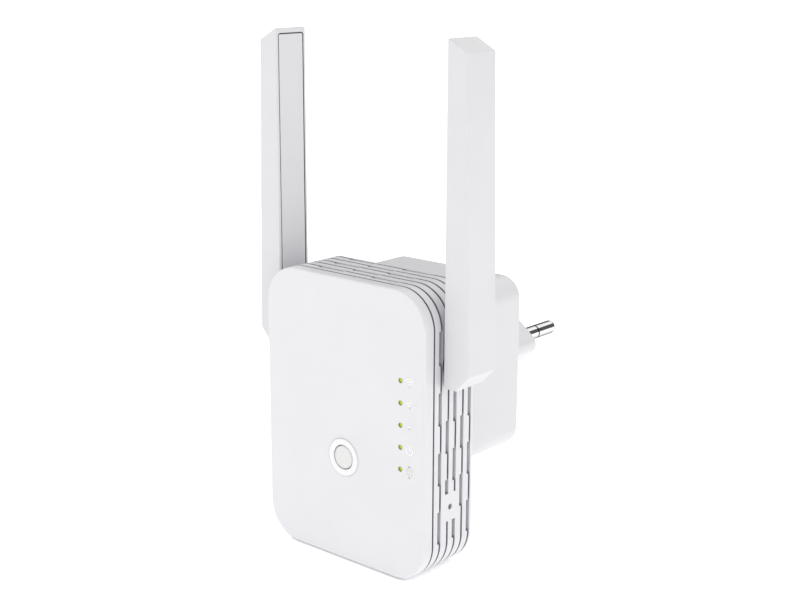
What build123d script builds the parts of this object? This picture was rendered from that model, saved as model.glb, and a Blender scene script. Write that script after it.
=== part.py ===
"""Plug-in wifi range extender with two folding antennas.

Frame: +Z is up and +Y points at the wall. The origin is the middle of the plug's wall-side face,
on the line between the two pins, so the whole body lies at negative Y. All sizes are millimetres.
"""

from math import ceil
import os

from build123d import *

os.makedirs("parts", exist_ok=True)

# ---------------------------------------------------------------- driving dimensions
# Flat body
body_width = 56.4
body_height = 78.8
body_depth = 20.2
body_corner = 10.4
housing_wall = 2.0
back_wall = 1.8

# Front cover
cover_depth = 3.3
front_wall = 1.8
front_round = 0.45
seam_gap = 0.6
lip_wall = 1.0
lip_length = 1.6
slip_fit = 0.15
back_round = 0.8

# Deep power block behind the body, and the contour plug on it
block_depth = 26.6
block_side_inset = 4.6
block_top_inset = 4.25
block_bottom_inset = 25.6
block_corner = 6.2
block_wall = 1.8
block_round = 1.4
flange_width = 1.6
flange_thickness = 1.5
flange_ear_pitch = 23.6
plug_drop = 23.65
plug_depth = 15.9
plug_width = 36.0
plug_height = 18.9
plug_flat = 16.0
plug_tip_flat = 2.7
plug_round = 3.0
plug_tip_round = 2.6
plug_wall = 2.0
plug_face_wall = 3.0
plug_face_round = 0.8
plug_flange_width = 1.5

# Mains pins
pin_diameter = 4.0
pin_length = 19.0
pin_pitch = 19.0
pin_tip_round = 1.0
pin_ring_from_tip = 9.0
pin_ring_width = 0.5
pin_ring_depth = 0.25
pin_collar_diameter = 6.0
pin_collar_length = 3.0
pin_shank_diameter = 4.4
pin_fit = 0.02
strip_thickness = 0.6
strip_width = 3.0

# Grooves and vents around the side wall
groove_count = 5
groove_first = 5.5
groove_pitch = 3.0
groove_width = 0.7
groove_depth = 1.1
groove_cut_margin = 1.0
slot_width = 1.35
slot_end_slack = 0.1
side_slot_length = 9.0
side_slot_pitch = 16.3
top_slot_length = 9.2
top_slot_pitch = 19.3

# Push button and its ring
button_drop = 49.3
button_diameter = 6.4
button_gap = 0.25
button_proud = 0.2
button_round = 0.35
button_flange_width = 0.9
button_flange_thickness = 0.8
button_flange_gap = 0.15
button_stem_diameter = 2.6
button_travel = 0.3
ring_diameter = 10.3
ring_proud = 0.25
ring_round = 0.2

# Status lamps
lamp_count = 5
lamp_pitch = 6.0
lamp_inset = 8.1
lamp_top_drop = 23.6
lamp_diameter = 1.3
lamp_fit = 0.05
lamp_recess = 0.3
guide_bar_width = 3.0
guide_bar_depth = 1.4
led_size = 1.6
led_height = 0.7
led_air = 0.2

# Main board and what it carries
board_thickness = 1.2
board_from_front = 7.6
board_side_gap = 3.0
board_top_gap = 1.4
board_bottom_gap = 8.4
board_corner = 2.0
board_screw_inset = 3.4
chip_size = 14.0
chip_height = 1.2
chip_drop = 31.4
can_size = 24.0
can_height = 2.4
can_wall = 0.3
can_corner = 1.0
pad_size = 12.0
memory_width = 8.0
memory_height = 6.0
memory_depth = 1.0
lan_width = 12.7
lan_height = 7.0
lan_depth = 4.0
lan_gap = 1.5
sink_base = 1.2
sink_fin_height = 3.0
sink_fin_thickness = 1.0
sink_fin_count = 7
jack_width = 16.2
jack_height = 12.8
jack_length = 16.5
jack_back_gap = 0.4
jack_land = 1.6
jack_recess = 0.3
plug_way_width = 11.9
plug_way_height = 8.0
plug_way_length = 13.5
latch_way_width = 6.4
latch_way_height = 2.0
contact_count = 8
contact_pitch = 1.02
contact_thickness = 0.4
contact_depth = 1.0
contact_setback = 3.375
switch_size = 6.0
switch_height = 3.4
switch_hole_diameter = 3.6
plunger_proud = 0.7
plunger_depth = 1.0
plunger_clearance = 0.1
plunger_gap = 0.1

# Reset switch behind its pinhole in the right side wall
reset_rise = 19.7
reset_hole_diameter = 1.6
reset_land_height = 7.7
reset_switch_size = 4.5
reset_plunger_diameter = 1.6
reset_travel = 0.25
reset_wall_gap = 0.3
reset_land_gap = 0.3

# Power board and what it carries
power_board_thickness = 1.6
power_board_gap = 0.5
power_board_side_gap = 0.6
transformer_width = 17.0
transformer_height = 8.0
transformer_plate = 3.0
transformer_leg = 5.0
transformer_depth = 15.5
winding_diameter = 11.6
winding_fit = 0.1
bulk_diameter = 10.0
bulk_length = 15.0
bulk_round = 0.6
output_diameter = 8.0
output_length = 11.0
choke_diameter = 9.0
choke_length = 9.0
choke_waist = 6.6
choke_flange = 1.5
fuse_diameter = 3.4
fuse_length = 9.0
fuse_round = 0.5
rectifier_width = 6.5
rectifier_height = 5.0
rectifier_depth = 2.5
suppressor_width = 13.0
suppressor_height = 5.5
suppressor_depth = 10.0
suppressor_corner = 0.8
power_part_gap = 1.4
lead_diameter = 1.1
lead_pitch = 2.5
lead_inset = 4.6
lead_rise = 5.2
lead_clearance = 0.6
dc_connector_width = 7.5
dc_connector_height = 5.0
dc_connector_depth = 4.0
sheet_thickness = 0.3
sheet_margin = 1.0

# Fasteners
screw_diameter = 2.0
screw_head_diameter = 3.8
screw_head_height = 1.3
screw_fit = 0.05
screw_tip_gap = 0.4
boss_diameter = 4.8
case_screw_length = 8.0
case_screw_inset = 4.2
case_boss_gap = 1.5
cross_length = 2.0
cross_width = 0.5
cross_depth = 0.65
housing_screw_bite = 0.9

# Antennas
antenna_length = 87.9
antenna_width = 11.15
antenna_thick_top = 6.2
antenna_thick_bottom = 8.0
antenna_gap = 1.1
antenna_top_slant = 3.4
antenna_heel_height = 4.3
antenna_heel_width = 4.0
antenna_wall = 1.1
antenna_round = 0.35
antenna_cover_margin = 0.8
antenna_cover_top_margin = 1.6
antenna_cover_thickness = 1.2
antenna_cover_fit = 0.28
antenna_cover_round = 0.2
antenna_ledge = 0.6
antenna_cover_corner = 0.8
hinge_drop = 19.7
hinge_from_front = 11.575
hub_diameter = 6.4
hub_running_fit = 0.05
hub_bore = 2.2
hub_flange_width = 0.6
hub_flange_room = 0.15
hub_flange_thickness = 1.2
hub_inside = 2.4
pivot_boss_wall = 1.15
pivot_boss_gap = 0.3
pivot_land_margin = 0.2
washer_width = 1.55
washer_gap = 0.1
washer_thickness = 0.6
clip_width = 1.3
clip_mouth = 5.0
clip_thickness = 0.8
clip_groove_depth = 0.5
clip_fit = 0.05
coax_diameter = 1.2
coax_gap = 0.4
coax_wall_gap = 1.47
coax_bend = 2.4
coax_lead_bend = 1.8
connector_diameter = 3.0
connector_height = 1.6
connector_inset = 5.6
connector_drop = 5.7
element_width = 6.5
element_thickness = 0.6
element_start = 7.0
element_end_gap = 7.0
coax_run = 20.0

# Rating plate
plate_width = 30.0
plate_height = 15.0
plate_thickness = 0.2
plate_corner = 1.0
plate_rise = 4.5

# ---------------------------------------------------------------- places worked out from them
plug_face_y = 0.0
block_back_y = plug_face_y - plug_depth
back_y = block_back_y - block_depth
front_y = back_y - body_depth
seam_y = front_y + cover_depth
cavity_back_y = back_y - back_wall
board_y = front_y + board_from_front
board_back_y = board_y + board_thickness
flange_y = cavity_back_y - flange_thickness
block_cavity_y = block_back_y - block_wall

body_top_z = block_top_inset + plug_drop
body_mid_z = body_top_z - body_height / 2

# The rest is measured from the body's middle: x as in the frame, z from body_mid_z.
half_width = body_width / 2
half_height = body_height / 2
block_width = body_width - 2 * block_side_inset
block_height = body_height - block_top_inset - block_bottom_inset
block_mid_z = (block_bottom_inset - block_top_inset) / 2
button_z = half_height - button_drop
button_hole_diameter = button_diameter + 2 * button_gap
lamp_x = half_width - lamp_inset
lamp_top_z = half_height - lamp_top_drop
lamp_places = [(lamp_x, lamp_top_z - i * lamp_pitch) for i in range(lamp_count)]
lamp_mid_z = lamp_top_z - (lamp_count - 1) * lamp_pitch / 2
inner_half_width = half_width - housing_wall
inner_half_height = half_height - housing_wall
inner_corner = body_corner - housing_wall
board_half_width = inner_half_width - board_side_gap
board_top_z = inner_half_height - board_top_gap
board_bottom_z = board_bottom_gap - inner_half_height
jack_back_y = cavity_back_y - jack_back_gap
jack_y = jack_back_y - jack_height
jack_mouth_z = jack_recess - half_height
jack_inner_z = jack_mouth_z + jack_length
chip_z = half_height - chip_drop
reset_z = -reset_rise
reset_y = front_y + groove_first + 1.5 * groove_pitch + slot_width / 2
hinge_y = front_y + hinge_from_front
hinge_z = half_height - hinge_drop
hub_hole_diameter = hub_diameter + 2 * hub_running_fit
pivot_boss_diameter = hub_hole_diameter + 2 * pivot_boss_wall
antenna_x = half_width + antenna_gap
antenna_bottom_z = hinge_z - antenna_width / 2
antenna_top_z = antenna_bottom_z + antenna_length


def body_plane(y):
    """Plane across the body at Y = y: local x is X, local y is Z from the body's middle.

    It faces the front, so a negative extrusion runs towards the wall.
    """
    return Plane(origin=(0, y, body_mid_z), x_dir=(1, 0, 0), z_dir=(0, -1, 0))


def plug_plane(y):
    """Plane across the plug at Y = y, with the plug's axis as its origin, facing the front."""
    return Plane(origin=(0, y, 0), x_dir=(1, 0, 0), z_dir=(0, -1, 0))


def level_plane(z):
    """Level plane at height z from the body's middle: local x is X and local y is Y."""
    return Plane.XY.offset(body_mid_z + z)


def hinge_plane(x):
    """Plane across the antenna hinge at X = x: local x is Y and local y is Z from the hinge axis."""
    return Plane(origin=(x, hinge_y, body_mid_z + hinge_z), x_dir=(0, 1, 0), z_dir=(1, 0, 0))


def finish(part, name):
    """Label a finished piece and write it to its own file."""
    part.label = name
    export_step(part, f"parts/{name}.step")


# ---------------------------------------------------------------- front cover
cover_boss_places = [
    (board_screw_inset - board_half_width, board_top_z - board_screw_inset),
    (board_half_width - board_screw_inset, board_top_z - board_screw_inset),
    (board_screw_inset - board_half_width, board_bottom_z + board_screw_inset),
]
case_screw_x = inner_half_width - case_screw_inset
case_screw_z = board_bottom_z - case_boss_gap - boss_diameter / 2
case_screw_places = [(-case_screw_x, case_screw_z), (case_screw_x, case_screw_z)]
case_boss_end_y = cavity_back_y
lip_inset = housing_wall + slip_fit

with BuildPart() as front_cover:
    with BuildSketch(body_plane(front_y)):
        RectangleRounded(body_width, body_height, body_corner)
    extrude(amount=-cover_depth)
    fillet(front_cover.faces().sort_by(Axis.Y)[0].edges(), front_round)
    with BuildSketch(body_plane(seam_y)):
        RectangleRounded(body_width - 2 * lip_inset, body_height - 2 * lip_inset, body_corner - lip_inset)
    extrude(amount=-lip_length)
    cavity_inset = lip_inset + lip_wall
    with BuildSketch(body_plane(front_y + front_wall)):
        RectangleRounded(
            body_width - 2 * cavity_inset, body_height - 2 * cavity_inset, body_corner - cavity_inset
        )
    extrude(amount=-(cover_depth - front_wall + lip_length), mode=Mode.SUBTRACT)
    with BuildSketch(body_plane(front_y)):
        with Locations((0, button_z)):
            Circle(ring_diameter / 2)
        with Locations(*lamp_places):
            Circle(lamp_diameter / 2 + lamp_fit)
    extrude(amount=-front_wall, mode=Mode.SUBTRACT)
    # Bosses for the board screws and for the two case screws
    with BuildSketch(body_plane(front_y + front_wall)):
        with Locations(*cover_boss_places):
            Circle(boss_diameter / 2)
    extrude(amount=-(board_from_front - front_wall))
    with BuildSketch(body_plane(front_y + front_wall)):
        with Locations(*case_screw_places):
            Circle(boss_diameter / 2)
    extrude(amount=-(case_boss_end_y - front_y - front_wall))
    with BuildSketch(body_plane(front_y + front_wall)):
        with Locations(*cover_boss_places):
            Circle(screw_diameter / 2 + screw_fit)
    extrude(amount=-(board_from_front - front_wall), mode=Mode.SUBTRACT)
    with BuildSketch(body_plane(front_y + front_wall)):
        with Locations(*case_screw_places):
            Circle(screw_diameter / 2 + screw_fit)
    extrude(amount=-(case_boss_end_y - front_y - front_wall), mode=Mode.SUBTRACT)
    # Room for the network jack at the lip's lower edge
    with BuildSketch(body_plane(jack_y - slip_fit)):
        with Locations((0, -half_height)):
            Rectangle(jack_width + 2 * slip_fit, 4 * housing_wall)
    extrude(amount=-jack_height, mode=Mode.SUBTRACT)
finish(front_cover.part, "front_cover")

# ---------------------------------------------------------------- button and its ring
with BuildPart() as button_ring:
    with BuildSketch(body_plane(front_y - ring_proud)):
        with Locations((0, button_z)):
            Circle(ring_diameter / 2)
            Circle(button_hole_diameter / 2, mode=Mode.SUBTRACT)
    extrude(amount=-(ring_proud + front_wall))
    fillet(button_ring.faces().sort_by(Axis.Y)[0].edges(), ring_round)
finish(button_ring.part, "button_ring")

button_flange_y = front_y + front_wall + button_flange_gap
switch_y = board_y - switch_height
plunger_y = switch_y - plunger_proud
stem_end_y = plunger_y - plunger_gap

with BuildPart() as wps_button:
    with BuildSketch(body_plane(front_y - button_proud)):
        with Locations((0, button_z)):
            Circle(button_diameter / 2)
    extrude(amount=-(button_flange_y - front_y + button_proud))
    fillet(wps_button.faces().sort_by(Axis.Y)[0].edges(), button_round)
    with BuildSketch(body_plane(button_flange_y)):
        with Locations((0, button_z)):
            Circle(button_hole_diameter / 2 + button_flange_width)
    extrude(amount=-button_flange_thickness)
    with BuildSketch(body_plane(button_flange_y)):
        with Locations((0, button_z)):
            Circle(button_stem_diameter / 2)
    extrude(amount=-(stem_end_y - button_flange_y))
finish(wps_button.part, "wps_button")

with BuildPart() as wps_switch:
    with BuildSketch(body_plane(switch_y)):
        with Locations((0, button_z)):
            Rectangle(switch_size, switch_size)
    extrude(amount=-switch_height)
    with BuildSketch(body_plane(switch_y)):
        with Locations((0, button_z)):
            Circle(switch_hole_diameter / 2)
    extrude(amount=-(plunger_depth + button_travel + plunger_clearance), mode=Mode.SUBTRACT)
finish(wps_switch.part, "wps_switch")

with BuildPart() as wps_plunger:
    with BuildSketch(body_plane(plunger_y)):
        with Locations((0, button_z)):
            Circle(switch_hole_diameter / 2 - plunger_clearance)
    extrude(amount=-(plunger_proud + plunger_depth))
finish(wps_plunger.part, "wps_plunger")

# ---------------------------------------------------------------- status lamps
guide_y = front_y + front_wall
led_y = board_y - led_height

with BuildPart() as light_guide:
    with BuildSketch(body_plane(front_y + lamp_recess)):
        with Locations(*lamp_places):
            Circle(lamp_diameter / 2)
    extrude(amount=-(led_y - led_air - front_y - lamp_recess))
    with BuildSketch(body_plane(guide_y)):
        with Locations((lamp_x, lamp_mid_z)):
            SlotOverall((lamp_count - 1) * lamp_pitch + guide_bar_width, guide_bar_width, rotation=90)
    extrude(amount=-guide_bar_depth)
finish(light_guide.part, "light_guide")

with BuildPart() as led_chips:
    with BuildSketch(body_plane(led_y)):
        with Locations(*lamp_places):
            Rectangle(led_size, led_size)
    extrude(amount=-led_height)
finish(led_chips.part, "led_chips")

# ---------------------------------------------------------------- vented middle housing
flange_ear_z = block_mid_z - block_height / 2 - flange_width - boss_diameter / 2
flange_ear_places = [(-flange_ear_pitch / 2, flange_ear_z), (flange_ear_pitch / 2, flange_ear_z)]


def slot_y(row):
    """Front edge of one row of slots; the groove that joins them runs along their rear edge."""
    return front_y + groove_first + row * groove_pitch


def slot_middles(straight, length, pitch, row):
    """Middles of the slots in one row of a straight wall; every other row is shifted half a pitch."""
    shift = pitch / 2 if row % 2 == 0 else 0
    steps = range(-ceil(straight / pitch), ceil(straight / pitch) + 1)
    reach = (straight - length) / 2 + slot_end_slack
    return [i * pitch + shift for i in steps if abs(i * pitch + shift) <= reach]


def crosses_hub_land(row, z):
    """True where a side slot would run into the round land that the antenna turns against."""
    in_row = slot_y(row) < hinge_y + pivot_boss_diameter / 2
    in_row = in_row and slot_y(row) + slot_width > hinge_y - pivot_boss_diameter / 2
    return in_row and abs(z - hinge_z) < (side_slot_length + pivot_boss_diameter) / 2


with BuildPart() as groove_cutters:
    for row in range(groove_count):
        with BuildSketch(body_plane(slot_y(row) + slot_width - groove_width)):
            RectangleRounded(
                body_width + 2 * groove_cut_margin,
                body_height + 2 * groove_cut_margin,
                body_corner + groove_cut_margin,
            )
            RectangleRounded(
                body_width - 2 * groove_depth,
                body_height - 2 * groove_depth,
                body_corner - groove_depth,
                mode=Mode.SUBTRACT,
            )
        extrude(amount=-groove_width)
        side_middles = slot_middles(body_height - 2 * body_corner, side_slot_length, side_slot_pitch, row)
        side_middles = [z for z in side_middles if not crosses_hub_land(row, z)]
        top_middles = slot_middles(body_width - 2 * body_corner, top_slot_length, top_slot_pitch, row)
        with BuildSketch(body_plane(slot_y(row))):
            with Locations(*[(side * half_width, z) for side in (-1, 1) for z in side_middles]):
                Rectangle(2 * housing_wall + groove_cut_margin, side_slot_length)
            with Locations(*[(x, half_height) for x in top_middles]):
                Rectangle(top_slot_length, 2 * housing_wall + groove_cut_margin)
        extrude(amount=-slot_width)
    # Flat lands that the grooves stop at: the two pivots, the reset pinhole and the network jack
    with BuildSketch(hinge_plane(-half_width - housing_wall)):
        Circle(pivot_boss_diameter / 2 + pivot_land_margin)
    extrude(amount=body_width + 2 * housing_wall, mode=Mode.SUBTRACT)
    with BuildSketch(body_plane(slot_y(1) - reset_land_gap)):
        with Locations((half_width, reset_z)):
            Rectangle(4 * housing_wall, reset_land_height)
    extrude(amount=-(groove_pitch + slot_width + 2 * reset_land_gap), mode=Mode.SUBTRACT)
    with BuildSketch(body_plane(front_y)):
        with Locations((0, -half_height)):
            Rectangle(jack_width + 2 * (slip_fit + jack_land), 4 * housing_wall)
    extrude(amount=-body_depth, mode=Mode.SUBTRACT)

with BuildPart() as vent_housing:
    with BuildSketch(body_plane(seam_y + seam_gap)):
        RectangleRounded(body_width, body_height, body_corner)
    extrude(amount=-(back_y - seam_y - seam_gap))
    fillet(vent_housing.faces().sort_by(Axis.Y)[-1].edges(), back_round)
    with BuildSketch(body_plane(seam_y)):
        RectangleRounded(2 * inner_half_width, 2 * inner_half_height, inner_corner)
    extrude(amount=-(cavity_back_y - seam_y), mode=Mode.SUBTRACT)
    # Pads under the ears of the power housing's flange
    with BuildSketch(body_plane(flange_y)):
        with Locations(*flange_ear_places):
            Circle(boss_diameter / 2)
    extrude(amount=-flange_thickness)
    with BuildSketch(body_plane(flange_y)):
        with Locations(*flange_ear_places):
            Circle(screw_diameter / 2 + screw_fit)
    extrude(amount=-(flange_thickness + housing_screw_bite), mode=Mode.SUBTRACT)
    with BuildSketch(body_plane(cavity_back_y)):
        with Locations((0, block_mid_z)):
            RectangleRounded(
                block_width + 2 * slip_fit, block_height + 2 * slip_fit, block_corner + slip_fit
            )
        with Locations(*case_screw_places):
            Circle(screw_diameter / 2 + screw_fit)
    extrude(amount=-back_wall, mode=Mode.SUBTRACT)
    with BuildSketch(body_plane(back_y - screw_head_height)):
        with Locations(*case_screw_places):
            Circle(screw_head_diameter / 2 + slip_fit)
    extrude(amount=-screw_head_height, mode=Mode.SUBTRACT)
    with BuildSketch(hinge_plane(-half_width)):
        Circle(hub_hole_diameter / 2)
    extrude(amount=body_width, mode=Mode.SUBTRACT)
    with BuildSketch(Plane(origin=(half_width, reset_y, body_mid_z + reset_z), z_dir=(1, 0, 0))):
        Circle(reset_hole_diameter / 2)
    extrude(amount=-housing_wall, mode=Mode.SUBTRACT)
    with BuildSketch(body_plane(jack_y - slip_fit)):
        with Locations((0, -half_height)):
            Rectangle(jack_width + 2 * slip_fit, 2 * housing_wall)
    extrude(amount=-(jack_height + 2 * slip_fit), mode=Mode.SUBTRACT)
    add(groove_cutters.part, mode=Mode.SUBTRACT)
finish(vent_housing.part, "vent_housing")

# ---------------------------------------------------------------- power housing
block_inner_half_width = block_width / 2 - block_wall
block_inner_half_height = block_height / 2 - block_wall


def plug_outline(grow):
    """Flattened hexagon with rounded corners, grown (or shrunk) by an even margin all round."""
    corners = [
        (plug_width / 2, plug_tip_flat / 2),
        (plug_flat / 2, plug_height / 2),
        (-plug_flat / 2, plug_height / 2),
        (-plug_width / 2, plug_tip_flat / 2),
        (-plug_width / 2, -plug_tip_flat / 2),
        (-plug_flat / 2, -plug_height / 2),
        (plug_flat / 2, -plug_height / 2),
        (plug_width / 2, -plug_tip_flat / 2),
    ]
    with BuildSketch() as outline:
        with BuildLine():
            Polyline(*corners, close=True)
        make_face()
        fillet(outline.vertices().group_by(SortBy.DISTANCE)[-1], plug_tip_round)
        fillet(outline.vertices().group_by(Axis.Y)[0] + outline.vertices().group_by(Axis.Y)[-1], plug_round)
        if grow:
            offset(amount=grow)
    return outline.sketch


with BuildPart() as power_housing:
    with BuildSketch(body_plane(flange_y)):
        with Locations((0, block_mid_z)):
            RectangleRounded(block_width, block_height, block_corner)
    extrude(amount=-(block_back_y - flange_y))
    fillet(power_housing.faces().sort_by(Axis.Y)[-1].edges(), block_round)
    with BuildSketch(body_plane(flange_y)):
        with Locations((0, block_mid_z)):
            RectangleRounded(
                block_width + 2 * flange_width, block_height + 2 * flange_width, block_corner + flange_width
            )
    extrude(amount=-flange_thickness)
    # Screw ears, one thickness above the flange so that they lie on the housing's pads
    with BuildSketch(body_plane(flange_y - flange_thickness)):
        with Locations(*flange_ear_places):
            SlotOverall(2 * boss_diameter, boss_diameter, rotation=90)
    extrude(amount=-flange_thickness)
    with BuildSketch(body_plane(flange_y - flange_thickness)):
        with Locations(*flange_ear_places):
            Circle(screw_diameter / 2 + screw_fit)
    extrude(amount=-flange_thickness, mode=Mode.SUBTRACT)
    with BuildSketch(body_plane(flange_y - flange_thickness)):
        with Locations((0, block_mid_z)):
            RectangleRounded(
                2 * block_inner_half_width, 2 * block_inner_half_height, block_corner - block_wall
            )
    extrude(amount=-(block_cavity_y - flange_y + flange_thickness), mode=Mode.SUBTRACT)
    with BuildSketch(plug_plane(block_cavity_y)):
        add(plug_outline(slip_fit))
    extrude(amount=-block_wall, mode=Mode.SUBTRACT)
finish(power_housing.part, "power_housing")

# ---------------------------------------------------------------- plug base, pins and contact strips
plug_flange_y = block_cavity_y - flange_thickness
power_board_back_y = plug_flange_y - power_board_gap
power_board_y = power_board_back_y - power_board_thickness
pin_back_y = plug_face_y - plug_face_wall - pin_collar_length
pin_places = {"left_pin": (-pin_pitch / 2, 0), "right_pin": (pin_pitch / 2, 0)}

with BuildPart() as plug_base:
    with BuildSketch(plug_plane(plug_flange_y)):
        add(plug_outline(plug_flange_width))
    extrude(amount=-flange_thickness)
    with BuildSketch(plug_plane(plug_flange_y)):
        add(plug_outline(0))
    extrude(amount=-(plug_face_y - plug_flange_y))
    fillet(plug_base.faces().sort_by(Axis.Y)[-1].edges(), plug_face_round)
    with BuildSketch(plug_plane(plug_flange_y)):
        add(plug_outline(-plug_wall))
    extrude(amount=-(plug_face_y - plug_face_wall - plug_flange_y), mode=Mode.SUBTRACT)
    with BuildSketch(plug_plane(plug_face_y - plug_face_wall)):
        with Locations(*pin_places.values()):
            Circle(pin_shank_diameter / 2 + pin_fit)
    extrude(amount=-plug_face_wall, mode=Mode.SUBTRACT)
finish(plug_base.part, "plug_base")

for pin_name, pin_place in pin_places.items():
    with BuildPart() as mains_pin:
        with BuildSketch(plug_plane(pin_back_y)):
            with Locations(pin_place):
                Circle(pin_collar_diameter / 2)
        extrude(amount=-pin_collar_length)
        with BuildSketch(plug_plane(pin_back_y)):
            with Locations(pin_place):
                Circle(pin_shank_diameter / 2)
        extrude(amount=-(plug_face_y - pin_back_y))
        with BuildSketch(plug_plane(plug_face_y)):
            with Locations(pin_place):
                Circle(pin_diameter / 2)
        extrude(amount=-pin_length)
        fillet(mains_pin.faces().sort_by(Axis.Y)[-1].edges(), pin_tip_round)
        with BuildSketch(plug_plane(pin_length - pin_ring_from_tip)):
            with Locations(pin_place):
                Circle(pin_diameter / 2 + pin_ring_depth)
                Circle(pin_diameter / 2 - pin_ring_depth, mode=Mode.SUBTRACT)
        extrude(amount=-pin_ring_width, mode=Mode.SUBTRACT)
    finish(mains_pin.part, pin_name)

with BuildPart() as contact_strips:
    with BuildSketch(plug_plane(power_board_back_y)):
        with Locations(*pin_places.values()):
            Rectangle(strip_thickness, strip_width)
    extrude(amount=-(pin_back_y - power_board_back_y))
finish(contact_strips.part, "contact_strips")

# ---------------------------------------------------------------- main board and what it carries
with BuildPart() as main_board:
    with BuildSketch(body_plane(board_y)):
        with Locations((0, (board_top_z + board_bottom_z) / 2)):
            RectangleRounded(2 * board_half_width, board_top_z - board_bottom_z, board_corner)
        with Locations((0, board_bottom_z)):
            Rectangle(
                jack_width + 2 * slip_fit,
                2 * (jack_inner_z + slip_fit - board_bottom_z),
                mode=Mode.SUBTRACT,
            )
        with Locations(*cover_boss_places):
            Circle(screw_diameter / 2 + screw_fit, mode=Mode.SUBTRACT)
    extrude(amount=-board_thickness)
finish(main_board.part, "main_board")

with BuildPart() as radio_chip:
    with BuildSketch(body_plane(board_back_y)):
        with Locations((0, chip_z)):
            Rectangle(chip_size, chip_size)
    extrude(amount=-chip_height)
finish(radio_chip.part, "radio_chip")

with BuildPart() as thermal_pad:
    with BuildSketch(body_plane(board_back_y + chip_height)):
        with Locations((0, chip_z)):
            Rectangle(pad_size, pad_size)
    extrude(amount=-(can_height - can_wall - chip_height))
finish(thermal_pad.part, "thermal_pad")

with BuildPart() as shield_can:
    with BuildSketch(body_plane(board_back_y)):
        with Locations((0, chip_z)):
            RectangleRounded(can_size, can_size, can_corner)
    extrude(amount=-can_height)
    with BuildSketch(body_plane(board_back_y)):
        with Locations((0, chip_z)):
            Rectangle(can_size - 2 * can_wall, can_size - 2 * can_wall)
    extrude(amount=-(can_height - can_wall), mode=Mode.SUBTRACT)
finish(shield_can.part, "shield_can")

with BuildPart() as heat_sink:
    with BuildSketch(body_plane(board_back_y + can_height)):
        with Locations((0, chip_z)):
            Rectangle(can_size, can_size)
    extrude(amount=-sink_base)
    fin_pitch = (can_size - sink_fin_thickness) / (sink_fin_count - 1)
    with BuildSketch(body_plane(board_back_y + can_height + sink_base)):
        with Locations((0, chip_z)):
            with GridLocations(fin_pitch, 1, sink_fin_count, 1):
                Rectangle(sink_fin_thickness, can_size)
    extrude(amount=-sink_fin_height)
finish(heat_sink.part, "heat_sink")

connector_x = board_half_width - connector_inset
connector_z = hinge_z - connector_drop
connector_places = [(-connector_x, connector_z), (connector_x, connector_z)]
memory_z = connector_z - connector_diameter / 2 - memory_height
memory_places = [(-connector_x, memory_z), (connector_x, memory_z)]
lan_z = jack_inner_z + lan_gap + lan_height / 2

with BuildPart() as memory_chips:
    with BuildSketch(body_plane(board_back_y)):
        with Locations(*memory_places):
            Rectangle(memory_width, memory_height)
    extrude(amount=-memory_depth)
finish(memory_chips.part, "memory_chips")

with BuildPart() as lan_transformer:
    with BuildSketch(body_plane(board_back_y)):
        with Locations((0, lan_z)):
            Rectangle(lan_width, lan_height)
    extrude(amount=-lan_depth)
finish(lan_transformer.part, "lan_transformer")

with BuildPart() as coax_connectors:
    with BuildSketch(body_plane(board_back_y)):
        with Locations(*connector_places):
            Circle(connector_diameter / 2)
    extrude(amount=-connector_height)
finish(coax_connectors.part, "coax_connectors")

# ---------------------------------------------------------------- network jack on the underside
jack_wall = (jack_height - plug_way_height - latch_way_height) / 2
latch_way_y = jack_y + jack_wall
plug_way_y = latch_way_y + latch_way_height

with BuildPart() as network_jack:
    with BuildSketch(level_plane(jack_mouth_z)):
        with Locations((0, jack_y + jack_height / 2)):
            Rectangle(jack_width, jack_height)
    extrude(amount=jack_length)
    with BuildSketch(level_plane(jack_mouth_z)):
        with Locations((0, plug_way_y + plug_way_height / 2)):
            Rectangle(plug_way_width, plug_way_height)
        with Locations((0, latch_way_y + latch_way_height / 2)):
            Rectangle(latch_way_width, latch_way_height)
    extrude(amount=plug_way_length, mode=Mode.SUBTRACT)
finish(network_jack.part, "network_jack")

with BuildPart() as jack_contacts:
    with BuildSketch(level_plane(jack_mouth_z + contact_setback)):
        with Locations((0, plug_way_y + plug_way_height - contact_depth / 2)):
            with GridLocations(contact_pitch, 1, contact_count, 1):
                Rectangle(contact_thickness, contact_depth)
    extrude(amount=plug_way_length - contact_setback)
finish(jack_contacts.part, "jack_contacts")

# ---------------------------------------------------------------- reset switch
reset_plane = Plane(origin=(0, reset_y, body_mid_z + reset_z), x_dir=(0, 1, 0), z_dir=(1, 0, 0))
reset_tip_x = inner_half_width - reset_wall_gap
reset_start_x = board_half_width - plunger_depth

with BuildPart() as reset_switch:
    with BuildSketch(reset_plane.offset(board_half_width - reset_switch_size)):
        Rectangle(2 * (reset_y - board_back_y), reset_switch_size)
    extrude(amount=reset_switch_size)
    with BuildSketch(reset_plane.offset(reset_start_x - reset_travel - plunger_clearance)):
        Circle(reset_plunger_diameter / 2 + plunger_clearance)
    extrude(amount=board_half_width - reset_start_x + reset_travel + plunger_clearance, mode=Mode.SUBTRACT)
finish(reset_switch.part, "reset_switch")

with BuildPart() as reset_plunger:
    with BuildSketch(reset_plane.offset(reset_start_x)):
        Circle(reset_plunger_diameter / 2)
    extrude(amount=reset_tip_x - reset_start_x)
finish(reset_plunger.part, "reset_plunger")

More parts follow.
